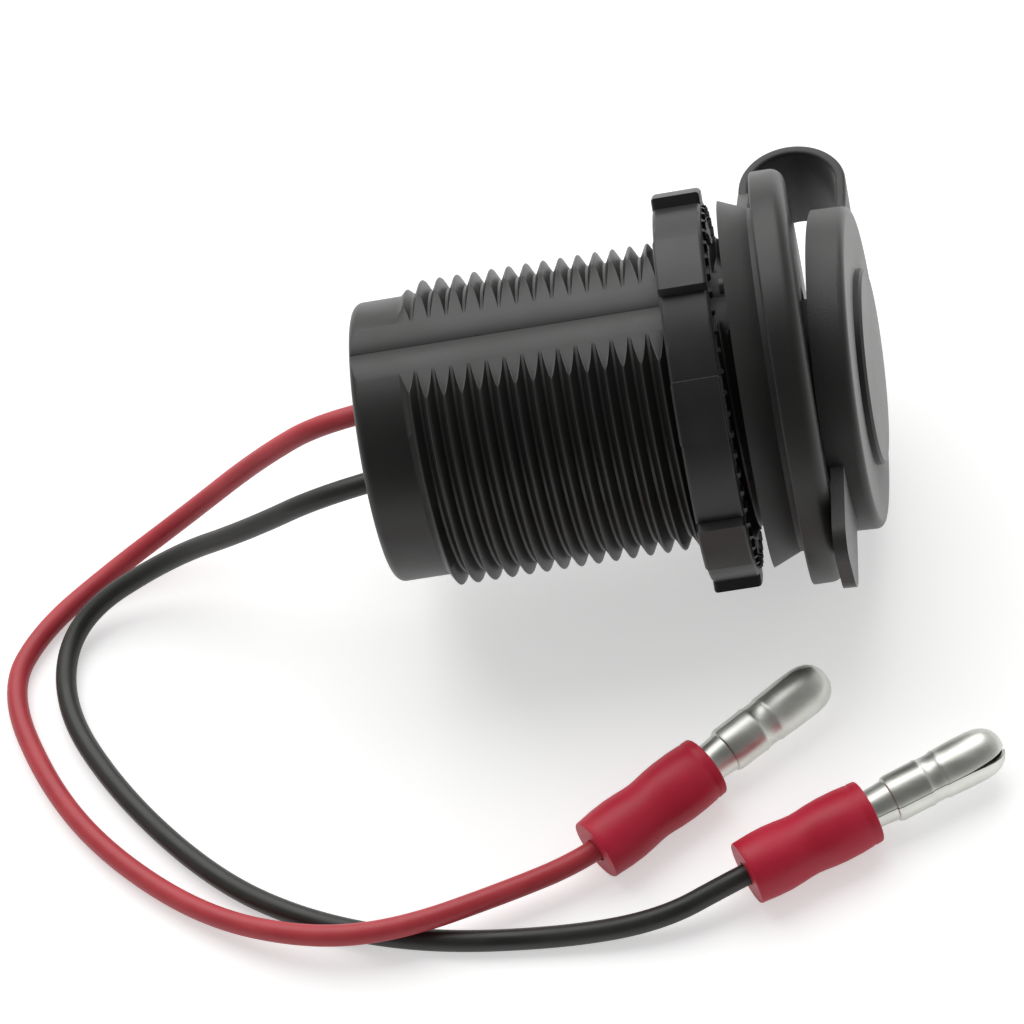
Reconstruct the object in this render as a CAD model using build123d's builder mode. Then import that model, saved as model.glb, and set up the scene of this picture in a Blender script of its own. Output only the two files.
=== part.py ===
from build123d import *

import math
import os

# Panel-mount USB charging socket, in millimetres.
# +X runs along the barrel towards the dust cap, +Z is the normal of one thread flat, and the strap is at +Y.
# The origin is the centre of the flange's rear face, which seats on the panel.

# Housing: barrel, thread, flats and flange
barrel_length = 37.8
crest_radius = 14.2
thread_depth = 1.15
thread_pitch = 1.615
crest_width = 0.3
root_width = 0.2
plain_length = 4.6
neck_length = 2.9
rear_edge_radius = 0.8
flat_offset = 12.75
flange_radius = 19.1
flange_thickness = 3.1
flange_edge_radius = 1.3
housing_wall = 1.75
front_wall = 2.0
well_radius = 7.7
well_depth = 5.2
well_edge_chamfer = 0.4

# Rear cover
cover_thickness = 2.0
cover_step = 0.5
cover_clearance = 0.1
lead_hole_clearance = 0.15

# Ring nut
nut_front = 4.6
nut_thickness = 4.4
nut_root_radius = 17.5
nut_radius = 18.5
nut_lugs = 8
nut_lug_width = 5.75
nut_bore_clearance = 0.12
nut_edge_radius = 0.35
nut_tooth_pitch = 2.0
nut_tooth_width = 0.6
nut_tooth_length = 1.1
nut_tooth_height = 0.3
nut_tooth_inset = 0.25
nut_tooth_taper = 25

# Strap ring with its lip seal, behind the flange
ring_clearance = 0.1
ring_body_radius = 15.9
ring_body_width = 1.3
lip_radius = 17.0
lip_reach = 3.2
lip_edge = 0.4
lip_start = 0.6
gate_radius = 0.7
gate_height = 0.9
gate_angle = -6
web_drop = 0.4
gusset_width = 7.0

# Dust cap, tilted as its strap holds it
cap_gap = 1.47
cap_tilt = 5.0
cap_lean = 2.1
cap_radius = 14.8
cap_thickness = 3.4
cap_edge_radius = 0.7
cap_disc_radius = 9.0
cap_disc_height = 0.75
cap_disc_edge = 0.25
plug_radius = 7.0
plug_length = 2.2
plug_taper = 0.3
tab_width = 8.0
tab_thickness = 1.2
tab_lift = 0.3
tab_reach = 22.9
tab_corner = 2.4

# Strap between ring and cap
strap_width = 10.0
strap_thickness = 1.0
loop_radius = 4.6
loop_drop = 0.3
strap_gap = 0.6
strap_lean = 0.6

# USB receptacle
shell_width = 13.1
shell_height = 5.72
shell_length = 14.0
shell_wall = 0.3
shell_corner = 0.6
shell_clearance = 0.1
ear_width = 1.7
ear_length = 3.0
ear_setback = 8.0
insulator_clearance = 0.05
insulator_base = 4.9
tongue_recess = 1.2
tongue_width = 11.1
tongue_thickness = 1.84
tongue_base = 0.15
contact_count = 4
contact_pitch = 2.3
contact_width = 1.0
contact_thickness = 0.25
contact_recess = 0.9
contact_tail = 0.9

# Circuit board and its components
board_thickness = 1.6
board_clearance = 0.35
board_gap = 0.9
capacitor_radius = 3.15
capacitor_height = 7.7
capacitor_groove = 0.3
capacitor_edge = 0.5
capacitor_spread = 5.0
output_capacitor_share = 0.225
input_capacitor_share = 0.68
inductor_size = 7.0
inductor_height = 4.4
inductor_corner = 1.6
inductor_core = 5.2
inductor_core_rise = 0.3
inductor_share = 0.28
inductor_spread = 5.3
chip_length = 4.9
chip_width = 3.9
chip_height = 1.5
chip_leads = 4
chip_lead_pitch = 1.27
chip_lead_width = 0.42
chip_lead_thickness = 0.2
chip_span = 6.0
chip_share = 0.7
chip_spread = 5.2
diode_length = 4.3
diode_width = 2.6
diode_height = 2.2
diode_tab_length = 1.0
diode_tab_width = 1.4
diode_tab_thickness = 0.25
diode_share = 0.63
small_part_length = 2.0
small_part_width = 1.25
small_part_height = 0.6
small_part_pitch = 2.1
resistor_count = 3
resistor_inset = 1.4
ceramic_count = 2
ceramic_gap = 0.3

# Leads and terminals
lead_radius = 1.0
lead_height = 0.2
lead_spread = 4.0
lead_rest = 0.05
lead_pad_inset = 3.5
arc_share = 0.45
sleeve_radius = 3.05
sleeve_waist_radius = 2.76
sleeve_bore_radius = 1.9
sleeve_rim_depth = 1.0
sleeve_rim_wall = 0.45
crimp_start = 2.4
crimp_clearance = 0.03
bullet_radius = 2.05
bullet_barrel_radius = 1.9
bullet_neck_radius = 1.55
bullet_neck_length = 1.6
bullet_flare_length = 1.6
bullet_bead_radius = 2.02
bullet_bead_width = 0.5
bullet_bead_places = (5.6, 7.4)
bullet_tip_start = 7.9
bullet_tip_round = 1.3
bullet_seam = 0.35
bullet_seam_depth = 0.6

# Where each terminal lies: centre of its sleeve's rear end, and its heading in the XY plane
red_terminal = (-22.5, -37.4, -16.05)
red_heading = 33.5
red_sleeve_length = 12.9
red_bullet_length = 13.7
black_terminal = (-9.3, -42.1, -16.05)
black_heading = 21.5
black_sleeve_length = 12.3
black_bullet_length = 13.2

# Sizes that follow from those above
root_radius = crest_radius - thread_depth
cavity_radius = flat_offset - housing_wall
cavity_front = flange_thickness - well_depth - front_wall
well_bottom = flange_thickness - well_depth
cover_rear = -barrel_length
cover_front = cover_rear + cover_thickness
board_top = lead_height - lead_radius - lead_rest
board_front = cavity_front - board_gap
board_rear = cover_front + board_gap
shell_rear = well_bottom - shell_length
contact_rear = shell_rear - contact_tail
cap_seat = flange_thickness + cap_gap
loop_centre = -strap_gap - strap_thickness / 2 + loop_radius
loop_height = flange_radius - loop_drop
web_reach = flange_radius - web_drop
ring_inner_radius = root_radius + ring_clearance

# The cap's own planes: across its axis, and along it with the strap towards +y
cap_up = Vector(1, 0, 0).rotate(Axis.Z, 90 - cap_tilt)
cap_axis = Vector(1, 0, 0).rotate(Axis.Y, -cap_lean).rotate(Axis.Z, -cap_tilt)
cap_face = Plane(origin=(cap_seat, 0, 0), x_dir=cap_up, z_dir=cap_axis)
cap_side = Plane(origin=(cap_seat, 0, 0), x_dir=cap_axis, z_dir=cap_axis.cross(cap_up))

# Routes of the leads, from the solder pads on the board to inside the sleeves
red_route = [
    (lead_pad_inset - barrel_length, lead_spread, lead_height),
    (-42.3, 3.8, 0.1),
    (-50.5, 6.0, -6.0),
    (-59.5, 6.6, -13.6),
    (-67.5, 4.0, -17.6),
    (-74.9, -1.7, -18.1),
    (-78.2, -8.5, -18.1),
    (-74.0, -20.1, -18.1),
    (-68.1, -28.9, -18.1),
    (-58.9, -37.3, -17.8),
    (-49.1, -42.1, -16.3),
    (-40.7, -42.9, -15.8),
    (-30.6, -39.9, -16.4),
    (-20.8, -36.3, -16.05),
]
black_route = [
    (lead_pad_inset - barrel_length, -lead_spread, lead_height),
    (-42.5, -4.1, 0.0),
    (-52.0, -2.0, -7.0),
    (-61.0, 1.2, -13.5),
    (-71.5, -1.2, -17.6),
    (-73.0, -10.8, -18.1),
    (-67.1, -22.3, -18.1),
    (-58.0, -33.3, -18.1),
    (-49.1, -39.4, -18.1),
    (-38.7, -43.2, -18.1),
    (-26.3, -44.7, -18.1),
    (-17.3, -44.4, -17.0),
    (-7.4, -41.4, -16.05),
]


def write(part, name):
    """Label a finished piece and write it to its own file."""
    part.label = name
    export_step(part, f"parts/{name}.step")


def barrel_outline():
    """Half section of the solid housing: plain rear, thread ridges, neck and flange."""
    thread_start = plain_length - barrel_length
    ridges = int((-neck_length - thread_start) / thread_pitch)
    slope = (thread_pitch - crest_width - root_width) / 2
    points = [(-barrel_length + rear_edge_radius, root_radius)]
    for ridge in range(ridges):
        foot = thread_start + ridge * thread_pitch + root_width / 2
        points.append((foot, root_radius))
        points.append((foot + slope, crest_radius))
        points.append((foot + slope + crest_width, crest_radius))
        points.append((foot + slope * 2 + crest_width, root_radius))
    points.append((0, root_radius))
    points.append((0, flange_radius))
    points.append((flange_thickness - flange_edge_radius, flange_radius))
    return points


def ring_outline():
    """Outer side of the strap ring's section, from the flange to the edge of its lip."""
    return [(0, ring_body_radius), (-lip_start, ring_body_radius), (-lip_reach, lip_radius)]


def behind_shell(share):
    """Place along X for a component, as a share of the board behind the receptacle."""
    return shell_rear + share * (board_rear - shell_rear)


def capacitor(place):
    """A can capacitor standing on the board at place."""
    with BuildPart() as can:
        with BuildSketch(Plane.XY.offset(board_top)):
            with Locations(place):
                Circle(capacitor_radius)
        extrude(amount=capacitor_height)
        rim = can.edges().filter_by(GeomType.CIRCLE).group_by(Axis.Z)[-1]
        fillet(rim, radius=capacitor_edge)
        with BuildSketch(Plane.XY.offset(board_top + capacitor_edge * 2)):
            with Locations(place):
                Circle(capacitor_radius)
                Circle(capacitor_radius - capacitor_groove, mode=Mode.SUBTRACT)
        extrude(amount=capacitor_groove, mode=Mode.SUBTRACT)
    return can.part


def lead(route):
    """A lead's round tube along its route, with arcs as large as the runs allow."""
    points = [Vector(point) for point in route]
    runs = [after - before for before, after in zip(points, points[1:])]
    radii = []
    for run, following in zip(runs, runs[1:]):
        half_turn = math.radians(run.get_angle(following) / 2)
        radii.append(arc_share * min(run.length, following.length) / math.tan(half_turn))
    with BuildPart() as tube:
        with BuildLine() as path:
            FilletPolyline(*points, radius=radii)
        with BuildSketch(Plane(origin=points[0], z_dir=runs[0])):
            Circle(lead_radius)
        sweep()
    length = path.wires()[0].length
    print("lead radii", [round(radius, 1) for radius in radii])
    print("lead length", round(length, 1), "volume share", tube.part.volume / (length * math.pi * lead_radius**2))
    return tube.part


def terminal_side(place, heading):
    """Plane through a terminal's axis: x along the terminal, y level and square to it."""
    turn = math.radians(heading)
    return Plane(origin=place, x_dir=(math.cos(turn), math.sin(turn), 0), z_dir=(0, 0, 1))


def terminal_axis(place, heading):
    """A terminal's axis, from its sleeve towards its tip."""
    turn = math.radians(heading)
    return Axis(place, (math.cos(turn), math.sin(turn), 0))


def sleeve(place, heading, length):
    """Waisted vinyl sleeve, bored through for the lead and the crimp, with an open rim round the bullet's neck."""
    floor = length - sleeve_rim_depth
    rim_radius = sleeve_radius - sleeve_rim_wall
    with BuildPart() as tube:
        with BuildSketch(terminal_side(place, heading)):
            with BuildLine():
                Polyline((0, sleeve_radius), (0, sleeve_bore_radius), (floor, sleeve_bore_radius))
                Polyline(
                    (floor, sleeve_bore_radius),
                    (floor, rim_radius),
                    (length, rim_radius),
                    (length, sleeve_radius),
                )
                Spline(
                    (length, sleeve_radius),
                    (length / 2, sleeve_waist_radius),
                    (0, sleeve_radius),
                    tangents=((-1, 0), (-1, 0)),
                )
            make_face()
        revolve(axis=terminal_axis(place, heading))
    return tube.part


def bullet(place, heading, start, length):
    """Rolled bullet: crimp inside the sleeve, neck, flare, beaded barrel and a sprung tip with its seam."""
    crimp_radius = sleeve_bore_radius - crimp_clearance
    crimp_end = start - sleeve_rim_depth
    shoulder = start + bullet_neck_length
    flare_end = shoulder + bullet_flare_length
    tip = start + bullet_tip_start
    end = start + length
    points = [(end, 0), (crimp_start, 0), (crimp_start, crimp_radius), (crimp_end, crimp_radius)]
    points.append((crimp_end, bullet_neck_radius))
    points.append((shoulder, bullet_neck_radius))
    points.append((flare_end, bullet_barrel_radius))
    for bead in bullet_bead_places:
        middle = start + bead
        points.append((middle - bullet_bead_width / 2, bullet_barrel_radius))
        points.append((middle, bullet_bead_radius))
        points.append((middle + bullet_bead_width / 2, bullet_barrel_radius))
    points.append((tip, bullet_barrel_radius))
    points.append((tip + bullet_bead_width, bullet_radius))
    points.append((end - bullet_tip_round, bullet_radius))
    side = terminal_side(place, heading)
    with BuildPart() as pin:
        with BuildSketch(side):
            with BuildLine():
                Polyline(*points)
                RadiusArc(points[-1], (end, bullet_radius - bullet_tip_round), bullet_tip_round)
                Line((end, bullet_radius - bullet_tip_round), points[0])
            make_face()
        revolve(axis=terminal_axis(place, heading))
        with BuildSketch(side.offset(bullet_radius - bullet_seam_depth)):
            with Locations((flare_end, 0)):
                Rectangle(end - flare_end, bullet_seam, align=(Align.MIN, Align.CENTER))
        extrude(amount=bullet_seam_depth * 2, mode=Mode.SUBTRACT)
    return pin.part


os.makedirs("parts", exist_ok=True)

# Housing
with BuildPart() as housing:
    outline = barrel_outline()
    with BuildSketch(Plane.XY):
        with BuildLine():
            Polyline(*outline)
            RadiusArc(
                outline[-1],
                (flange_thickness, flange_radius - flange_edge_radius),
                flange_edge_radius,
            )
            Polyline(
                (flange_thickness, flange_radius - flange_edge_radius),
                (flange_thickness, 0),
                (-barrel_length, 0),
                (-barrel_length, root_radius - rear_edge_radius),
            )
            RadiusArc(
                (-barrel_length, root_radius - rear_edge_radius),
                outline[0],
                rear_edge_radius,
            )
        make_face()
    revolve(axis=Axis.X)
    # Two flats along the barrel
    with BuildSketch(Plane.YZ):
        with Locations((0, flat_offset), (0, -flat_offset - crest_radius)):
            Rectangle(crest_radius * 2, crest_radius, align=(Align.CENTER, Align.MIN))
    extrude(amount=-barrel_length, mode=Mode.SUBTRACT)
    # Cavity for the board, with a step that seats the rear cover
    with BuildSketch(Plane.YZ.offset(-barrel_length)):
        Circle(cavity_radius)
    extrude(amount=barrel_length + cavity_front, mode=Mode.SUBTRACT)
    with BuildSketch(Plane.YZ.offset(-barrel_length)):
        Circle(cavity_radius + cover_step)
    extrude(amount=cover_thickness, mode=Mode.SUBTRACT)
    # Round well in front of the port, and the port's opening
    with BuildSketch(Plane.YZ.offset(flange_thickness)):
        Circle(well_radius)
    extrude(amount=-well_depth, mode=Mode.SUBTRACT)
    with BuildSketch(Plane.YZ.offset(well_bottom)):
        RectangleRounded(
            shell_width + shell_clearance * 2,
            shell_height + shell_clearance * 2,
            shell_corner + shell_clearance,
        )
    extrude(amount=-front_wall, mode=Mode.SUBTRACT)
    mouth = housing.edges().filter_by(GeomType.CIRCLE).filter_by(lambda edge: abs(edge.radius - well_radius) < 1e-6)
    chamfer(mouth.group_by(Axis.X)[-1], length=well_edge_chamfer)
write(housing.part, "housing")

# Rear cover
with BuildPart() as rear_cover:
    with BuildSketch(Plane.YZ.offset(cover_rear)):
        Circle(cavity_radius + cover_step - cover_clearance)
        with Locations((lead_spread, lead_height), (-lead_spread, lead_height)):
            Circle(lead_radius + lead_hole_clearance, mode=Mode.SUBTRACT)
    extrude(amount=cover_thickness)
write(rear_cover.part, "rear_cover")

# Ring nut
with BuildPart() as ring_nut:
    with BuildSketch(Plane.YZ.offset(-nut_front - nut_thickness)):
        Circle(nut_root_radius)
        with PolarLocations(nut_root_radius, nut_lugs):
            Rectangle((nut_radius - nut_root_radius) * 4, nut_lug_width)
        Circle(nut_radius, mode=Mode.INTERSECT)
    extrude(amount=nut_thickness)
    rims = ring_nut.faces().filter_by(Axis.X).edges()
    fillet(rims, radius=nut_edge_radius)
    with BuildSketch(Plane.YZ.offset(-nut_front)):
        teeth = round(2 * math.pi * nut_root_radius / nut_tooth_pitch)
        tooth_middle = nut_root_radius - nut_edge_radius - nut_tooth_inset - nut_tooth_length / 2
        with PolarLocations(tooth_middle, teeth):
            Rectangle(nut_tooth_length, nut_tooth_width)
    extrude(amount=nut_tooth_height, taper=nut_tooth_taper)
    with BuildSketch(Plane.YZ.offset(-nut_front - nut_thickness)):
        Circle(crest_radius + nut_bore_clearance)
    extrude(amount=nut_thickness + nut_tooth_height, mode=Mode.SUBTRACT)
write(ring_nut.part, "ring_nut")

# Strap ring with its lip seal
with BuildPart() as strap_ring:
    with BuildSketch(Plane.XY):
        with BuildLine():
            Polyline(
                (0, ring_inner_radius),
                *ring_outline(),
                (-lip_reach, lip_radius - lip_edge),
                (-ring_body_width, ring_body_radius - lip_edge),
                (-ring_body_width, ring_inner_radius),
                (0, ring_inner_radius),
            )
        make_face()
    revolve(axis=Axis.X)
    # Stub of the moulding gate on the lip
    gate_place = lip_radius - lip_edge / 2 - gate_radius
    turn = math.radians(gate_angle)
    with BuildSketch(Plane.YZ.offset(-lip_reach - gate_height / 2)):
        with Locations((gate_place * math.sin(turn), gate_place * math.cos(turn))):
            Circle(gate_radius)
    extrude(amount=gate_height)
    # Web that widens the ring out to the strap
    with BuildSketch(Plane.YZ.offset(-strap_gap - strap_thickness)):
        Circle(ring_body_radius)
        with Locations((web_reach, 0)):
            Rectangle(strap_thickness, strap_width, align=(Align.MAX, Align.CENTER))
        make_hull()
        Circle(ring_body_radius - lip_edge, mode=Mode.SUBTRACT)
    extrude(amount=strap_thickness)
    # Gusset from the lip up to the web
    with BuildSketch(Plane.XY.offset(-gusset_width / 2)):
        with BuildLine():
            Polyline(
                (lip_edge - lip_reach, lip_radius - lip_edge),
                (-strap_gap - strap_thickness / 2, web_reach - lip_edge),
                (-strap_gap - strap_thickness / 2, ring_body_radius - lip_edge * 2),
                close=True,
            )
        make_face()
    extrude(amount=gusset_width)
write(strap_ring.part, "strap_ring")

# Strap that loops over the flange
with BuildPart() as cap_strap:
    inner = loop_radius - strap_thickness / 2
    outer = loop_radius + strap_thickness / 2
    cap_foot = cap_radius - strap_thickness
    with BuildSketch(Plane.XY.offset(-strap_width / 2)):
        with BuildLine():
            Polyline(
                (loop_centre - outer, loop_height),
                (loop_centre - outer, web_reach),
                (loop_centre - inner, web_reach),
                (loop_centre - inner, loop_height),
            )
            ThreePointArc(
                (loop_centre - inner, loop_height),
                (loop_centre, loop_height + inner),
                (loop_centre + inner, loop_height),
            )
            Polyline(
                (loop_centre + inner, loop_height),
                (loop_centre + inner - strap_lean, cap_foot),
                (loop_centre + outer - strap_lean, cap_foot),
                (loop_centre + outer, loop_height),
            )
            ThreePointArc(
                (loop_centre + outer, loop_height),
                (loop_centre, loop_height + outer),
                (loop_centre - outer, loop_height),
            )
        make_face()
    extrude(amount=strap_width)
    # The strap's front end stops on the cap's rim
    with BuildSketch(cap_face):
        Circle(cap_radius)
    extrude(amount=cap_thickness, mode=Mode.SUBTRACT)
write(cap_strap.part, "cap_strap")

# Dust cap
with BuildPart() as dust_cap:
    with BuildSketch(cap_side):
        with BuildLine():
            Polyline(
                (-plug_length, 0),
                (-plug_length, plug_radius - plug_taper),
                (0, plug_radius),
                (0, cap_radius),
                (cap_thickness - cap_edge_radius, cap_radius),
            )
            RadiusArc(
                (cap_thickness - cap_edge_radius, cap_radius),
                (cap_thickness, cap_radius - cap_edge_radius),
                cap_edge_radius,
            )
            Polyline(
                (cap_thickness, cap_radius - cap_edge_radius),
                (cap_thickness, cap_disc_radius),
                (cap_thickness + cap_disc_height - cap_disc_edge, cap_disc_radius),
                (cap_thickness + cap_disc_height, cap_disc_radius - cap_disc_edge),
                (cap_thickness + cap_disc_height, 0),
                (-plug_length, 0),
            )
        make_face()
    revolve(axis=Axis((cap_seat, 0, 0), cap_axis))
    # Pull tab opposite the strap
    with BuildSketch(cap_face.offset(tab_lift)):
        with Locations((-tab_reach, 0)):
            RectangleRounded(tab_reach - plug_radius, tab_width, tab_corner, align=(Align.MIN, Align.CENTER))
    extrude(amount=tab_thickness)
write(dust_cap.part, "dust_cap")

# USB receptacle: shell
with BuildPart() as usb_shell:
    with BuildSketch(Plane.YZ.offset(well_bottom)):
        RectangleRounded(shell_width, shell_height, shell_corner)
        RectangleRounded(
            shell_width - shell_wall * 2,
            shell_height - shell_wall * 2,
            shell_corner - shell_wall,
            mode=Mode.SUBTRACT,
        )
    extrude(amount=-shell_length)
    # Side ears that sit on the board
    ear_middle = shell_width / 2 + ear_width / 2 - shell_wall / 2
    with BuildSketch(Plane.XY.offset(board_top)):
        with Locations(
            (well_bottom - ear_setback, ear_middle),
            (well_bottom - ear_setback, -ear_middle),
        ):
            Rectangle(ear_length, ear_width)
    extrude(amount=shell_wall)
write(usb_shell.part, "usb_shell")

# USB receptacle: contacts, under the tongue, through the base and down to the board
contact_front = well_bottom - tongue_recess - contact_recess
contact_places = [(contact_pitch * (i - (contact_count - 1) / 2)) for i in range(contact_count)]
with BuildPart() as usb_contacts:
    with BuildSketch(Plane.XY.offset(tongue_base - contact_thickness)):
        for place in contact_places:
            with Locations((contact_front, place)):
                Rectangle(contact_front - contact_rear, contact_width, align=(Align.MAX, Align.CENTER))
    extrude(amount=contact_thickness)
    with BuildSketch(Plane.XY.offset(board_top)):
        for place in contact_places:
            with Locations((contact_rear, place)):
                Rectangle(contact_thickness, contact_width, align=(Align.MIN, Align.CENTER))
    extrude(amount=tongue_base - board_top)
write(usb_contacts.part, "usb_contacts")

# USB receptacle: insulator with its tongue
with BuildPart() as usb_insulator:
    with BuildSketch(Plane.YZ.offset(shell_rear)):
        RectangleRounded(
            shell_width - (shell_wall + insulator_clearance) * 2,
            shell_height - (shell_wall + insulator_clearance) * 2,
            shell_corner - shell_wall,
        )
    extrude(amount=insulator_base)
    with BuildSketch(Plane.XY.offset(tongue_base)):
        with Locations((well_bottom - tongue_recess, 0)):
            Rectangle(
                shell_length - tongue_recess - insulator_base / 2,
                tongue_width,
                align=(Align.MAX, Align.CENTER),
            )
    extrude(amount=tongue_thickness)
    with BuildSketch(Plane.XY.offset(tongue_base - contact_thickness)):
        for place in contact_places:
            with Locations((contact_front, place)):
                Rectangle(contact_front - contact_rear, contact_width, align=(Align.MAX, Align.CENTER))
    extrude(amount=contact_thickness, mode=Mode.SUBTRACT)
write(usb_insulator.part, "usb_insulator")

# Circuit board, with a cut-out that takes the receptacle
board_half_width = math.sqrt(cavity_radius**2 - (board_thickness - board_top) ** 2) - board_clearance
with BuildPart() as circuit_board:
    with BuildSketch(Plane.XY.offset(board_top - board_thickness)):
        with Locations((board_rear, 0)):
            Rectangle(board_front - board_rear, board_half_width * 2, align=(Align.MIN, Align.CENTER))
        with Locations((board_front, 0)):
            Rectangle(
                board_front - shell_rear + shell_clearance,
                shell_width + shell_clearance * 2,
                align=(Align.MAX, Align.CENTER),
                mode=Mode.SUBTRACT,
            )
    extrude(amount=board_thickness)
write(circuit_board.part, "circuit_board")

# Can capacitors at the converter's input and output
write(capacitor((behind_shell(input_capacitor_share), capacitor_spread)), "input_capacitor")
write(capacitor((behind_shell(output_capacitor_share), capacitor_spread)), "output_capacitor")

# Shielded inductor
inductor_place = (behind_shell(inductor_share), -inductor_spread)
with BuildPart() as inductor:
    with BuildSketch(Plane.XY.offset(board_top)):
        with Locations(inductor_place):
            box = Rectangle(inductor_size, inductor_size)
        chamfer(box.vertices(), length=inductor_corner)
    extrude(amount=inductor_height)
    with BuildSketch(Plane.XY.offset(board_top + inductor_height)):
        with Locations(inductor_place):
            Circle(inductor_core / 2)
    extrude(amount=inductor_core_rise)
write(inductor.part, "inductor")

# Converter chip with a row of leads on each side
chip_place = (behind_shell(chip_share), -chip_spread)
with BuildPart() as converter_chip:
    with BuildSketch(Plane.XY.offset(board_top + chip_lead_thickness)):
        with Locations(chip_place):
            Rectangle(chip_length, chip_width)
    extrude(amount=chip_height)
    with BuildSketch(Plane.XY.offset(board_top)):
        with Locations(chip_place):
            with GridLocations(chip_lead_pitch, 0, chip_leads, 1):
                Rectangle(chip_lead_width, chip_span)
    extrude(amount=chip_lead_thickness)
write(converter_chip.part, "converter_chip")

# Rectifier diode with its two end tabs
diode_place = (behind_shell(diode_share), 0)
with BuildPart() as rectifier_diode:
    with BuildSketch(Plane.XY.offset(board_top + diode_tab_thickness)):
        with Locations(diode_place):
            Rectangle(diode_length, diode_width)
    extrude(amount=diode_height)
    with BuildSketch(Plane.XY.offset(board_top)):
        with Locations(diode_place):
            with GridLocations(diode_length, 0, 2, 1):
                Rectangle(diode_tab_length, diode_tab_width)
    extrude(amount=diode_tab_thickness)
write(rectifier_diode.part, "rectifier_diode")

# Small chip parts
with BuildPart() as resistors:
    with BuildSketch(Plane.XY.offset(board_top)):
        with Locations((board_rear + resistor_inset, 0)):
            with GridLocations(0, small_part_pitch, 1, resistor_count):
                Rectangle(small_part_length, small_part_width)
    extrude(amount=small_part_height)
write(resistors.part, "resistors")

with BuildPart() as ceramic_capacitors:
    with BuildSketch(Plane.XY.offset(board_top)):
        with Locations((contact_rear - ceramic_gap - small_part_width / 2, 0)):
            with GridLocations(0, small_part_pitch, 1, ceramic_count):
                Rectangle(small_part_width, small_part_width)
    extrude(amount=small_part_height)
write(ceramic_capacitors.part, "ceramic_capacitors")

# Leads and their terminals
write(lead(red_route), "red_lead")
write(lead(black_route), "black_lead")
write(sleeve(red_terminal, red_heading, red_sleeve_length), "red_lead_sleeve")
write(sleeve(black_terminal, black_heading, black_sleeve_length), "black_lead_sleeve")
write(bullet(red_terminal, red_heading, red_sleeve_length, red_bullet_length), "red_lead_bullet")
write(bullet(black_terminal, black_heading, black_sleeve_length, black_bullet_length), "black_lead_bullet")
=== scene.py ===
import math

import bmesh
import bpy
from mathutils import Matrix, Vector


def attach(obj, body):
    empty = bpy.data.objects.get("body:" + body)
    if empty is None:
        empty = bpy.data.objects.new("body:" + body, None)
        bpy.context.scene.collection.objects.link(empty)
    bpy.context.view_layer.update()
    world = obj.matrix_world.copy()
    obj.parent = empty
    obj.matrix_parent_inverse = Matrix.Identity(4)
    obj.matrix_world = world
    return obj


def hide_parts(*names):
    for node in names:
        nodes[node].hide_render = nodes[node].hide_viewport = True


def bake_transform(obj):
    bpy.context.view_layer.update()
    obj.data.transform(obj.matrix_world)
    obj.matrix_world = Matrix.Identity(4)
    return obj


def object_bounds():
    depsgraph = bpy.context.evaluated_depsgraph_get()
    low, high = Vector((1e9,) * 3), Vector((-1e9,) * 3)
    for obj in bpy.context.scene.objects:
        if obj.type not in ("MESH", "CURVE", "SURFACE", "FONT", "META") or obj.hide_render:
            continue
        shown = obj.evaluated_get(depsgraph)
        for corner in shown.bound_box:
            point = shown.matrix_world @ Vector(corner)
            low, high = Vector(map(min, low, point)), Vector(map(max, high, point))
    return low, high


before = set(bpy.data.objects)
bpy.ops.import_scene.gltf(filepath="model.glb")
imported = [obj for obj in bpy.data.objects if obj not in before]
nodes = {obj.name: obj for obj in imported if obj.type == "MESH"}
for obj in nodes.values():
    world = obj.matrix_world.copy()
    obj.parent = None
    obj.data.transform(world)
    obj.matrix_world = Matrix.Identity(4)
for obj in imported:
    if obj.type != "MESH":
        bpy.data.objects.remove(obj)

# Lengths are millimetres in the row frame, turned into metres by mm; floor, lamp and near clip are in metres.
mm = 0.001
cad_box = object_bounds()
scene = bpy.context.scene
scene.view_settings.view_transform = "Standard"

# Camera, at the angle, tilt and lens of the photograph
view_azimuth = math.radians(10.0)
view_elevation = math.radians(51.47)
view_roll = math.radians(-16.74)
view_distance = 351.75
view_right = -24.64
view_up = -12.2
view_lens = 135
view_near_clip = 0.01

# Thread, as a right-hand helix
crest_radius = 14.2
root_radius = 13.05
thread_pitch = 1.615
thread_start = -33.3
thread_end = -3.1
thread_phase = -10.39
thread_fade = 1.3
thread_profile = (
    (0.0, 0.0),
    (0.08, 0.03),
    (0.40, 0.90),
    (0.46, 0.98),
    (0.50, 1.0),
    (0.54, 0.98),
    (0.60, 0.90),
    (0.92, 0.03),
)
barrel_segments = 180
spare_turns = 2

# Rest of the housing
barrel_length = 37.8
rear_edge = 0.8
rear_edge_steps = 6
flat_offset = 12.75
flange_radius = 19.1
flange_thickness = 3.1
flange_edge = 1.3
flange_edge_steps = 8
flange_rear_edge = 0.25
flange_rear_edge_steps = 3
cavity_radius = 11.0
cavity_front = -4.1
cover_seat_radius = 11.5
cover_seat = 2.0
well_radius = 7.7
well_bottom = -2.1
well_chamfer = 0.4
port_width = 13.3
port_height = 5.92
port_corner = 0.7
parting_width = 0.09
parting_depth = 0.035
housing_sharp = 45
cut_overrun = 1
cut_front = -0.001

# Strap
strap_width = 10.0
strap_thickness = 1.0
strap_corner = 0.32
strap_run_steps = 8
strap_flare = 1.06
strap_flare_length = 1.6
strap_outline = (
    (-1.1, 18.4),
    (-1.1, 20.3),
    (0.65, 22.7),
    (3.5, 23.6),
    (6.35, 22.7),
    (8.1, 20.3),
    (8.0, 17.6),
    (7.6, 14.4),
)

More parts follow.
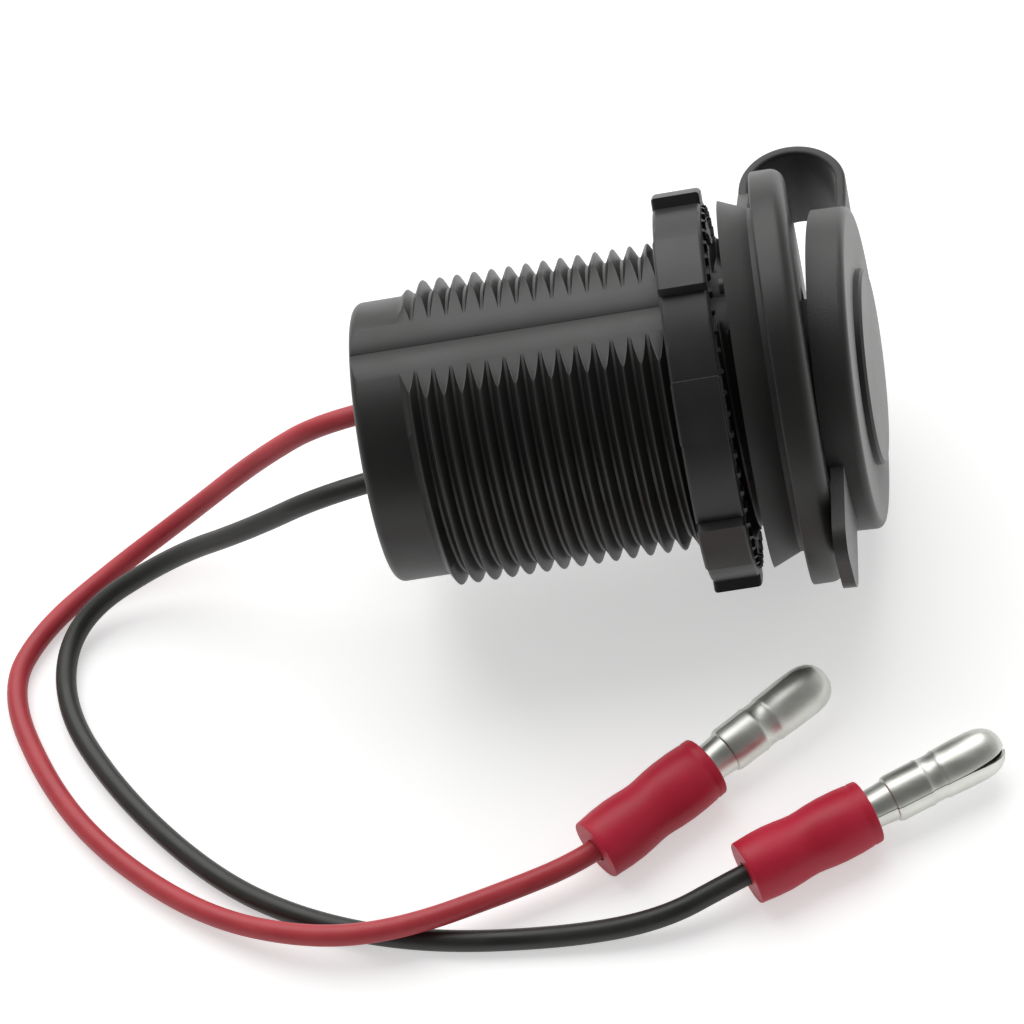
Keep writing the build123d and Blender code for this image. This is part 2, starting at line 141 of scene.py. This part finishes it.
# Leads and terminals
lead_diameter = 2.0
lead_round_steps = 6
lead_run_steps = 14
red_route = (
    (-34.3, 4.0, 0.2),
    (-42.3, 3.8, 0.1),
    (-50.5, 5.6, -6.3),
    (-59.5, 6.2, -13.9),
    (-67.5, 4.0, -17.6),
    (-74.9, -1.7, -18.1),
    (-78.2, -8.5, -18.1),
    (-74.0, -20.1, -18.1),
    (-68.1, -28.9, -18.1),
    (-58.9, -37.3, -17.8),
    (-49.1, -42.1, -16.3),
    (-40.7, -42.9, -15.8),
    (-30.6, -40.1, -16.4),
    (-23.8, -38.25, -16.05),
    (-20.8, -36.3, -16.05),
)
black_route = (
    (-34.3, -4.0, 0.2),
    (-42.5, -4.5, -0.4),
    (-52.0, -2.2, -7.1),
    (-61.0, 1.2, -13.5),
    (-71.5, -1.2, -17.6),
    (-73.0, -10.8, -18.1),
    (-67.1, -22.3, -18.1),
    (-58.0, -33.3, -18.1),
    (-49.1, -39.4, -18.1),
    (-38.7, -43.2, -18.1),
    (-26.3, -44.7, -18.1),
    (-17.3, -44.9, -17.2),
    (-10.7, -42.7, -16.05),
    (-7.4, -41.4, -16.05),
)
red_terminal = (-22.5, -37.4, -16.05)
red_heading = math.radians(34.2)
red_sleeve_length = 12.9
red_bullet_length = 13.7
red_seam = math.radians(64)
black_terminal = (-9.3, -42.1, -16.05)
black_heading = math.radians(22.2)
black_sleeve_length = 12.3
black_bullet_length = 13.2
black_seam = math.radians(152)

# Sleeve: places along its outer wall as shares of its length, with their radii
sleeve_wall = (
    (0.97, 2.97),
    (0.945, 2.99),
    (0.93, 2.93),
    (0.915, 3.0),
    (0.82, 3.08),
    (0.70, 3.10),
    (0.60, 3.03),
    (0.53, 2.93),
    (0.47, 2.88),
    (0.41, 2.92),
    (0.34, 3.01),
    (0.25, 3.09),
    (0.14, 3.07),
    (0.05, 2.98),
)
sleeve_end_radius = 2.95
sleeve_rim_radius = 2.62
sleeve_rim_depth = 1.0
sleeve_bore_radius = 1.9
sleeve_lead_radius = 1.03
sleeve_lead_chamfer = 0.4
sleeve_lead_depth = 3.0
sleeve_edge = 0.1
sleeve_rear_edge = 0.08
sleeve_segments = 72
crimp_dent = 0.16
crimp_place = 0.55
crimp_spread = 0.06
crimp_angle = math.radians(125)

# Bullet: places from the sleeve's front end, then from the tip's end, with their radii
bullet_barrel = (
    (-3.5, 1.87),
    (-1.1, 1.87),
    (-0.7, 1.6),
    (0.0, 1.5),
    (1.2, 1.56),
    (2.3, 1.66),
    (2.42, 1.86),
    (2.6, 1.92),
    (5.4, 1.93),
    (5.52, 1.97),
    (5.66, 1.93),
    (5.78, 1.87),
    (7.1, 1.87),
    (7.24, 1.97),
    (7.36, 2.0),
    (7.5, 1.97),
)
bullet_tip = (
    (5.0, 2.01),
    (3.8, 2.05),
    (2.2, 2.03),
    (1.4, 1.93),
    (0.8, 1.7),
    (0.35, 1.35),
    (0.1, 0.95),
    (0.0, 0.6),
)
bullet_wall = 0.28
bullet_segments = 90
seam_half_width = 0.02
seam_tip_half_width = 0.3
seam_opening = 4.0

# Meshes: distances at which points merge and slivers go, steps of a rounded corner, angles of crisp edges
merge_distance = 0.002
sliver_length = 0.001
corner_steps = 4
plain_sharp = 30
soft_sharp = 40

# Finishes: detail of the noise, its range that carries colour and gloss, and the strength of the grain
patch_detail = 4.0
grain_detail = 3.0
colour_range = (0.35, 0.65)
gloss_range = (0.3, 0.7)
grain_strength = 0.6
sheen_roughness = 0.45

# Floor, surroundings and lamp
floor_half_width = 2.0
floor_colour = (0.8, 0.8, 0.8, 1.0)
floor_glow = 0.5
sky_colour = (1.0, 1.0, 0.98, 1.0)
sky_dark_side = (0.1, -0.6, 0.79)
sky_range = (0.2, 0.85)
sky_levels = (0.62, 0.17)
lamp_size = 1.0
lamp_energy = 7.0
lamp_distance = 0.9
lamp_direction = Vector((-0.108, 0.6135, 0.782))


def link(name, mesh):
    """Put a mesh in the scene under a name."""
    obj = bpy.data.objects.new(name, mesh)
    scene.collection.objects.link(obj)
    return obj


def finish_mesh(shape, name, sharp_degrees):
    """Turn a bmesh into a smooth-shaded mesh whose sharper edges stay crisp."""
    bmesh.ops.recalc_face_normals(shape, faces=shape.faces)
    mesh = bpy.data.meshes.new(name)
    shape.to_mesh(mesh)
    shape.free()
    mesh.polygons.foreach_set("use_smooth", [True] * len(mesh.polygons))
    mesh.set_sharp_from_angle(angle=math.radians(sharp_degrees))
    return mesh


def skin(rows, closed_rows, closed_columns):
    """A bmesh through rows of points: rows join end to end, and neighbours join each other, where closed."""
    shape = bmesh.new()
    grid = [[shape.verts.new(point) for point in row] for row in rows]
    count = len(grid)
    width = len(grid[0])
    for i in range(count if closed_columns else count - 1):
        after = grid[(i + 1) % count]
        for j in range(width if closed_rows else width - 1):
            k = (j + 1) % width
            shape.faces.new((grid[i][j], grid[i][k], after[k], after[j]))
    bmesh.ops.remove_doubles(shape, verts=shape.verts, dist=merge_distance * mm)
    bmesh.ops.dissolve_degenerate(shape, edges=shape.edges, dist=sliver_length * mm)
    return shape


def prism(name, corners, low, high, axis):
    """A closed prism over a polygon in the two other axes, for cutting."""
    shape = bmesh.new()
    ends = []
    for level in (low, high):
        loop = []
        for a, b in corners:
            point = [a, b]
            point.insert(axis, level)
            loop.append(shape.verts.new(Vector(point) * mm))
        shape.faces.new(loop)
        ends.append(loop)
    for i in range(len(corners)):
        k = (i + 1) % len(corners)
        shape.faces.new((ends[0][i], ends[0][k], ends[1][k], ends[1][i]))
    return link(name, finish_mesh(shape, name, plain_sharp))


def cut(obj, cutters):
    """Subtract cutters from an object's mesh and drop them."""
    for cutter in cutters:
        step = obj.modifiers.new(cutter.name, "BOOLEAN")
        step.operation = "DIFFERENCE"
        step.solver = "EXACT"
        step.object = cutter
    bpy.context.view_layer.update()
    result = bpy.data.meshes.new_from_object(obj.evaluated_get(bpy.context.evaluated_depsgraph_get()))
    obj.modifiers.clear()
    obj.data = result
    for cutter in cutters:
        bpy.data.objects.remove(cutter)


def thread_radius(along, share):
    """Radius of the thread at a place along the barrel, for a share of the profile's height."""
    rise = min(1.0, max(0.0, (along - thread_start) / thread_fade))
    fall = min(1.0, max(0.0, (thread_end - along) / thread_fade))
    return root_radius + (crest_radius - root_radius) * share * rise * fall


def arc(centre, radius, first, last, steps):
    """Points of an arc in the (along, radius) plane, from one angle to another in degrees."""
    points = []
    for i in range(steps + 1):
        turn = math.radians(first + (last - first) * i / steps)
        points.append((centre[0] + radius * math.cos(turn), centre[1] + radius * math.sin(turn)))
    return points


def housing_rows():
    """Rows of the housing's closed section at each angle, the thread's points following the helix."""
    front = [(well_bottom, 0.0), (well_bottom, well_radius), (flange_thickness - well_chamfer, well_radius)]
    front.append((flange_thickness, well_radius + well_chamfer))
    corner = (flange_thickness - flange_edge, flange_radius - flange_edge)
    front += arc(corner, flange_edge, 0, 90, flange_edge_steps)
    corner = (flange_rear_edge, flange_radius - flange_rear_edge)
    front += arc(corner, flange_rear_edge, 90, 180, flange_rear_edge_steps)
    front.append((0.0, root_radius))
    corner = (rear_edge - barrel_length, root_radius - rear_edge)
    rear = arc(corner, rear_edge, 90, 180, rear_edge_steps)
    rear.append((-barrel_length, cover_seat_radius))
    rear.append((cover_seat - barrel_length, cover_seat_radius))
    rear.append((cover_seat - barrel_length, cavity_radius))
    rear.append((cavity_front, cavity_radius))
    rear.append((cavity_front, 0.0))
    turns = math.ceil((thread_end - thread_start) / thread_pitch) + spare_turns
    first = thread_phase - thread_pitch * math.ceil((thread_phase - thread_start) / thread_pitch + 1.5)
    rows = []
    for i in range(barrel_segments + 1):
        share_of_turn = i / barrel_segments
        thread = []
        for turn in range(turns):
            for place, height in thread_profile:
                along = first + thread_pitch * (turn + place - 0.5 + share_of_turn)
                along = min(thread_end, max(thread_start, along))
                thread.append((along, thread_radius(along, height)))
        outline = front + thread[::-1] + rear
        angle = 2 * math.pi * share_of_turn
        row = []
        for along, radius in outline:
            point = Vector((along, radius * math.cos(angle), radius * math.sin(angle)))
            row.append(point * mm)
        rows.append(row)
    return rows


def rounded_box(width, height, corner, steps):
    """Corners of a rounded rectangle round the origin."""
    points = []
    for x, y, start in ((1, 1, 0), (-1, 1, 90), (-1, -1, 180), (1, -1, 270)):
        centre = (x * (width / 2 - corner), y * (height / 2 - corner))
        points += arc(centre, corner, start, start + 90, steps)
    return points


def fitted(place, heading):
    """Matrix that lays a piece along +X at a terminal's place and heading."""
    return Matrix.Translation(Vector(place) * mm) @ Matrix.Rotation(heading, 4, "Z")


# Procedural finishes
def material(name):
    """A new node material, with its node tree and surface shader."""
    made = bpy.data.materials.new(name)
    made.use_nodes = True
    return made, made.node_tree, made.node_tree.nodes["Principled BSDF"]


def noise(tree, scale, detail, stretch=(1, 1, 1)):
    """A noise texture in the object's own coordinates; scale is in cells per metre."""
    coords = tree.nodes.new("ShaderNodeTexCoord")
    mapping = tree.nodes.new("ShaderNodeMapping")
    mapping.inputs["Scale"].default_value = stretch
    texture = tree.nodes.new("ShaderNodeTexNoise")
    texture.inputs["Scale"].default_value = scale
    texture.inputs["Detail"].default_value = detail
    tree.links.new(coords.outputs["Object"], mapping.inputs["Vector"])
    tree.links.new(mapping.outputs["Vector"], texture.inputs["Vector"])
    return texture


def finish(name, dark, light, roughness, patch, grain, bump, metallic=0.0, stretch=(1, 1, 1), sheen=0.0):
    """A surface with soft colour patches, uneven gloss and a fine grain."""
    made, tree, shader = material(name)
    patches = noise(tree, patch, patch_detail, stretch)
    ramp = tree.nodes.new("ShaderNodeValToRGB")
    ramp.color_ramp.elements[0].position = colour_range[0]
    ramp.color_ramp.elements[1].position = colour_range[1]
    ramp.color_ramp.elements[0].color = (*dark, 1.0)
    ramp.color_ramp.elements[1].color = (*light, 1.0)
    gloss = tree.nodes.new("ShaderNodeMapRange")
    gloss.inputs["From Min"].default_value = gloss_range[0]
    gloss.inputs["From Max"].default_value = gloss_range[1]
    gloss.inputs["To Min"].default_value = roughness[0]
    gloss.inputs["To Max"].default_value = roughness[1]
    fine = noise(tree, grain, grain_detail, stretch)
    relief = tree.nodes.new("ShaderNodeBump")
    relief.inputs["Strength"].default_value = grain_strength
    relief.inputs["Distance"].default_value = bump * mm
    tree.links.new(patches.outputs["Fac"], ramp.inputs["Fac"])
    tree.links.new(ramp.outputs["Color"], shader.inputs["Base Color"])
    tree.links.new(patches.outputs["Fac"], gloss.inputs["Value"])
    tree.links.new(gloss.outputs["Result"], shader.inputs["Roughness"])
    tree.links.new(fine.outputs["Fac"], relief.inputs["Height"])
    tree.links.new(relief.outputs["Normal"], shader.inputs["Normal"])
    shader.inputs["Metallic"].default_value = metallic
    shader.inputs["Sheen Weight"].default_value = sheen
    shader.inputs["Sheen Roughness"].default_value = sheen_roughness
    return made


def dress(obj, surface):
    """Give an object one surface."""
    obj.data.materials.clear()
    obj.data.materials.append(surface)


housing_plastic = finish(
    "housing_plastic", (0.010, 0.011, 0.010), (0.014, 0.015, 0.013), (0.36, 0.46), 160, 5200, 0.012,
    sheen=0.03,
)
cover_plastic = finish(
    "cover_plastic", (0.012, 0.012, 0.012), (0.018, 0.018, 0.017), (0.5, 0.6), 150, 4000, 0.02
)
nut_plastic = finish(
    "nut_plastic", (0.011, 0.012, 0.012), (0.016, 0.017, 0.016), (0.36, 0.46), 180, 4800, 0.014, sheen=0.08
)
cap_rubber = finish(
    "cap_rubber", (0.013, 0.013, 0.013), (0.019, 0.019, 0.018), (0.44, 0.54), 140, 5200, 0.03, sheen=0.45
)
plated_steel = finish(
    "plated_steel", (0.60, 0.60, 0.58), (0.72, 0.72, 0.70), (0.25, 0.4), 300, 3000, 0.004, 1.0, (0.15, 1, 1)
)
insulator_plastic = finish(
    "insulator_plastic", (0.72, 0.72, 0.69), (0.78, 0.78, 0.75), (0.4, 0.5), 200, 4000, 0.008
)
contact_metal = finish(
    "contact_metal", (0.78, 0.58, 0.26), (0.86, 0.68, 0.34), (0.2, 0.32), 300, 3000, 0.004, 1.0
)
board_mask = finish("board", (0.02, 0.12, 0.045), (0.03, 0.18, 0.07), (0.3, 0.42), 420, 2500, 0.01)
chip_plastic = finish(
    "chip_plastic", (0.016, 0.016, 0.017), (0.026, 0.026, 0.026), (0.5, 0.62), 400, 5000, 0.01
)
ferrite = finish("ferrite", (0.05, 0.05, 0.055), (0.085, 0.085, 0.09), (0.55, 0.7), 500, 4000, 0.02)
can_aluminium = finish(
    "can_aluminium", (0.70, 0.70, 0.70), (0.80, 0.80, 0.80), (0.28, 0.4), 250, 2600, 0.005, 1.0, (1, 1, 0.1)
)
ceramic = finish("ceramic", (0.46, 0.34, 0.22), (0.56, 0.44, 0.30), (0.35, 0.5), 500, 4000, 0.006)
red_pvc = finish("red_pvc", (0.50, 0.035, 0.05), (0.58, 0.055, 0.07), (0.4, 0.52), 260, 3800, 0.012)
black_pvc = finish("black_pvc", (0.016, 0.016, 0.015), (0.025, 0.025, 0.022), (0.36, 0.48), 260, 3800, 0.012)
red_vinyl = finish("red_vinyl", (0.56, 0.008, 0.036), (0.64, 0.014, 0.05), (0.42, 0.56), 220, 3200, 0.014)
tinned_brass = finish(
    "tinned_brass", (0.60, 0.61, 0.57), (0.76, 0.77, 0.73), (0.34, 0.46), 420, 2400, 0.01, 1.0, (0.25, 1, 1)
)

surfaces = {
    "housing": housing_plastic,
    "rear_cover": cover_plastic,
    "ring_nut": nut_plastic,
    "strap_ring": cap_rubber,
    "cap_strap": cap_rubber,
    "dust_cap": cap_rubber,
    "usb_shell": plated_steel,
    "usb_insulator": insulator_plastic,
    "usb_contacts": contact_metal,
    "circuit_board": board_mask,
    "converter_chip": chip_plastic,
    "inductor": ferrite,
    "rectifier_diode": chip_plastic,
    "input_capacitor": can_aluminium,
    "output_capacitor": can_aluminium,
    "ceramic_capacitors": ceramic,
    "resistors": chip_plastic,
    "red_lead": red_pvc,
    "black_lead": black_pvc,
    "red_lead_sleeve": red_vinyl,
    "black_lead_sleeve": red_vinyl,
    "red_lead_bullet": tinned_brass,
    "black_lead_bullet": tinned_brass,
}
for node, surface in surfaces.items():
    dress(nodes[node], surface)


# Camera
right_flat = Vector((math.cos(view_azimuth), math.sin(view_azimuth), 0))
level = math.cos(view_elevation)
back = Vector((level * math.sin(view_azimuth), -level * math.cos(view_azimuth), math.sin(view_elevation)))
up_flat = back.cross(right_flat)
right = right_flat * math.cos(view_roll) + up_flat * math.sin(view_roll)
up = up_flat * math.cos(view_roll) - right_flat * math.sin(view_roll)
camera_place = (back * view_distance + right * view_right + up * view_up) * mm
camera_data = bpy.data.cameras.new("camera")
camera_data.lens = view_lens
camera_data.clip_start = view_near_clip
camera = bpy.data.objects.new("camera", camera_data)
camera.matrix_world = Matrix.Translation(camera_place) @ Matrix((right, up, back)).transposed().to_4x4()
scene.collection.objects.link(camera)
scene.camera = camera


# Leads
def lead(name, route, surface):
    """A lead as one smooth spline through its route."""
    curve = bpy.data.curves.new(name, "CURVE")
    curve.dimensions = "3D"
    curve.bevel_depth = lead_diameter / 2 * mm
    curve.bevel_resolution = lead_round_steps
    curve.resolution_u = lead_run_steps
    curve.use_fill_caps = True
    spline = curve.splines.new("NURBS")
    spline.points.add(len(route) - 1)
    for point, place in zip(spline.points, route):
        point.co = (*(Vector(place) * mm), 1)
    spline.order_u = 3
    spline.use_endpoint_u = True
    obj = link(name, curve)
    dress(obj, surface)
    return obj


# Terminals
def sleeve(name, place, heading, length):
    """Vinyl sleeve, pinched where it is crimped, with an open rim round the terminal's neck."""
    floor_place = length - sleeve_rim_depth
    outline = [(floor_place, sleeve_bore_radius), (floor_place, sleeve_rim_radius)]
    outline += [(length - sleeve_edge, sleeve_rim_radius), (length, sleeve_rim_radius + sleeve_edge)]
    outline += [(length, sleeve_end_radius - sleeve_edge), (length - sleeve_edge, sleeve_end_radius)]
    outline += [(share * length, radius) for share, radius in sleeve_wall]
    outline += [(sleeve_edge, sleeve_end_radius), (0.0, sleeve_end_radius - sleeve_rear_edge)]
    outline += [(0.0, sleeve_lead_radius + sleeve_edge), (sleeve_lead_chamfer, sleeve_lead_radius)]
    outline.append((sleeve_lead_depth, sleeve_lead_radius))
    rows = []
    for i in range(sleeve_segments):
        turn = 2 * math.pi * i / sleeve_segments
        pinch = crimp_dent * max(0.0, math.cos(2 * (turn - crimp_angle))) ** 2
        row = []
        for along, radius in outline:
            near = math.exp(-(((along / length - crimp_place) / crimp_spread) ** 2))
            if radius > sleeve_rim_radius:
                radius -= pinch * near
            row.append(Vector((along, radius * math.cos(turn), radius * math.sin(turn))) * mm)
        rows.append(row)
    obj = link(name, finish_mesh(skin(rows, True, True), name, soft_sharp))
    obj.data.transform(fitted(place, heading))
    dress(obj, red_vinyl)
    return obj


def bullet(name, place, heading, start, length, seam):
    """Terminal rolled from sheet: its edges meet in a seam that opens towards the rounded tip."""
    end = start + length
    outline = [(start + along, radius) for along, radius in bullet_barrel]
    outline += [(end - back_off, radius) for back_off, radius in bullet_tip]
    rows = []
    for i in range(bullet_segments + 1):
        row = []
        for along, radius in outline:
            opening = max(0.0, 1 - (end - along) / seam_opening)
            half = seam_half_width + (seam_tip_half_width - seam_half_width) * opening
            gap = half / radius
            turn = seam + gap + (2 * math.pi - 2 * gap) * i / bullet_segments
            row.append(Vector((along, radius * math.cos(turn), radius * math.sin(turn))) * mm)
        rows.append(row)
    shape = skin(rows, False, False)
    bmesh.ops.solidify(shape, geom=shape.faces[:], thickness=bullet_wall * mm)
    obj = link(name, finish_mesh(shape, name, soft_sharp))
    obj.data.transform(fitted(place, heading))
    dress(obj, tinned_brass)
    return obj


red_lead = lead("red_lead_line", red_route, red_pvc)
black_lead = lead("black_lead_line", black_route, black_pvc)
red_sleeve = sleeve("red_lead_boot", red_terminal, red_heading, red_sleeve_length)
black_sleeve = sleeve("black_lead_boot", black_terminal, black_heading, black_sleeve_length)
red_bullet = bullet("red_lead_pin", red_terminal, red_heading, red_sleeve_length, red_bullet_length, red_seam)
black_bullet = bullet(
    "black_lead_pin", black_terminal, black_heading, black_sleeve_length, black_bullet_length, black_seam
)
for piece, node, slot in (
    (red_lead, "red_lead", "red_pvc"),
    (black_lead, "black_lead", "black_pvc"),
    (red_sleeve, "red_lead_sleeve", "red_vinyl"),
    (black_sleeve, "black_lead_sleeve", "red_vinyl"),
    (red_bullet, "red_lead_bullet", "tinned_brass"),
    (black_bullet, "black_lead_bullet", "tinned_brass"),
):
    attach(piece, "socket")
    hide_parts(node)


# Housing with its helical thread, flats, parting line, well and port
housing_shape = skin(housing_rows(), False, False)
housing = link("housing_body", finish_mesh(housing_shape, "housing_body", housing_sharp))
cut_top = crest_radius + 2
cut_side = crest_radius + 1
cutters = []
for up_side in (1, -1):
    low = flat_offset * up_side
    top = cut_top * up_side
    corners = ((-cut_side, low), (cut_side, low), (cut_side, top), (-cut_side, top))
    cutters.append(prism("flat", corners, -barrel_length - cut_overrun, cut_front, 0))
    half = parting_width / 2
    groove = (flat_offset - parting_depth) * up_side
    corners = ((-half, low + up_side), (half, low + up_side), (half, low), (0, groove), (-half, low))
    cutters.append(prism("parting", corners, -barrel_length - cut_overrun, cut_front, 0))
corners = rounded_box(port_width, port_height, port_corner, corner_steps)
cutters.append(prism("port", corners, cavity_front - cut_overrun, well_bottom + cut_overrun, 0))
cut(housing, cutters)
housing.data.polygons.foreach_set("use_smooth", [True] * len(housing.data.polygons))
housing.data.set_sharp_from_angle(angle=math.radians(housing_sharp))
dress(housing, housing_plastic)
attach(housing, "socket")
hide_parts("housing")


# Strap
def strap_mesh():
    """The strap's rounded section swept along its loop."""
    curve = bpy.data.curves.new("strap_line", "CURVE")
    curve.dimensions = "3D"
    curve.resolution_u = strap_run_steps
    spline = curve.splines.new("NURBS")
    spline.points.add(len(strap_outline) - 1)
    for point, (x, y) in zip(spline.points, strap_outline):
        point.co = (x, y, 0, 1)
    spline.order_u = 3
    spline.use_endpoint_u = True
    guide = link("strap_line", curve)
    bpy.context.view_layer.update()
    line = bpy.data.meshes.new_from_object(guide.evaluated_get(bpy.context.evaluated_depsgraph_get()))
    places = [vert.co.copy() for vert in line.vertices]
    bpy.data.objects.remove(guide)
    section = rounded_box(strap_thickness, strap_width, strap_corner, corner_steps)
    rows = []
    for i, place in enumerate(places):
        along = (places[min(i + 1, len(places) - 1)] - places[max(i - 1, 0)]).normalized()
        outward = Vector((-along.y, along.x, 0))
        left = (places[-1] - place).length
        flare = 1 + (strap_flare - 1) * max(0.0, 1 - left / strap_flare_length) ** 2
        rows.append([(place + outward * a * flare + Vector((0, 0, b * flare))) * mm for a, b in section])
    shape = skin(rows, True, False)
    bmesh.ops.holes_fill(shape, edges=shape.edges, sides=0)
    return finish_mesh(shape, "strap", soft_sharp)


strap = link("strap", strap_mesh())
dress(strap, cap_rubber)
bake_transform(strap)
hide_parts("cap_strap")


# Floor, lamp and surroundings
floor_level = cad_box[0][2]
floor_shape = bmesh.new()
bmesh.ops.create_grid(floor_shape, x_segments=1, y_segments=1, size=floor_half_width)
floor = link("floor", finish_mesh(floor_shape, "floor", plain_sharp))
floor.location = (0, 0, floor_level)
floor_surface, tree, shader = material("floor")
tree.nodes.remove(shader)
output = tree.nodes["Material Output"]
diffuse = tree.nodes.new("ShaderNodeBsdfDiffuse")
diffuse.inputs["Color"].default_value = floor_colour
paths = tree.nodes.new("ShaderNodeLightPath")
seen = tree.nodes.new("ShaderNodeMath")
seen.operation = "MAXIMUM"
seen_any = tree.nodes.new("ShaderNodeMath")
seen_any.operation = "MAXIMUM"
lift = tree.nodes.new("ShaderNodeMath")
lift.operation = "MULTIPLY"
lift.inputs[1].default_value = floor_glow
glow = tree.nodes.new("ShaderNodeEmission")
both = tree.nodes.new("ShaderNodeAddShader")
tree.links.new(paths.outputs["Is Camera Ray"], seen.inputs[0])
tree.links.new(paths.outputs["Is Glossy Ray"], seen.inputs[1])
tree.links.new(seen.outputs["Value"], seen_any.inputs[0])
tree.links.new(paths.outputs["Is Transmission Ray"], seen_any.inputs[1])
tree.links.new(seen_any.outputs["Value"], lift.inputs[0])
tree.links.new(lift.outputs["Value"], glow.inputs["Strength"])
tree.links.new(diffuse.outputs["BSDF"], both.inputs[0])
tree.links.new(glow.outputs["Emission"], both.inputs[1])
tree.links.new(both.outputs["Shader"], output.inputs["Surface"])
dress(floor, floor_surface)

# Surroundings: pale all round, darker on the camera's side
world = bpy.data.worlds.new("surroundings")
world.use_nodes = True
sky = world.node_tree
background = sky.nodes["Background"]
coords = sky.nodes.new("ShaderNodeTexCoord")
facing = sky.nodes.new("ShaderNodeVectorMath")
facing.operation = "DOT_PRODUCT"
facing.inputs[1].default_value = sky_dark_side
shade = sky.nodes.new("ShaderNodeMapRange")
shade.inputs["From Min"].default_value = sky_range[0]
shade.inputs["From Max"].default_value = sky_range[1]
shade.inputs["To Min"].default_value = sky_levels[0]
shade.inputs["To Max"].default_value = sky_levels[1]
background.inputs["Color"].default_value = sky_colour
sky.links.new(coords.outputs["Generated"], facing.inputs[0])
sky.links.new(facing.outputs["Value"], shade.inputs["Value"])
sky.links.new(shade.outputs["Result"], background.inputs["Strength"])
scene.world = world

lamp_data = bpy.data.lights.new("softbox", "AREA")
lamp_data.shape = "SQUARE"
lamp_data.size = lamp_size
lamp_data.energy = lamp_energy
lamp = bpy.data.objects.new("softbox", lamp_data)
lamp.location = lamp_direction * lamp_distance
lamp.rotation_euler = lamp_direction.to_track_quat("Z", "Y").to_euler()
scene.collection.objects.link(lamp)
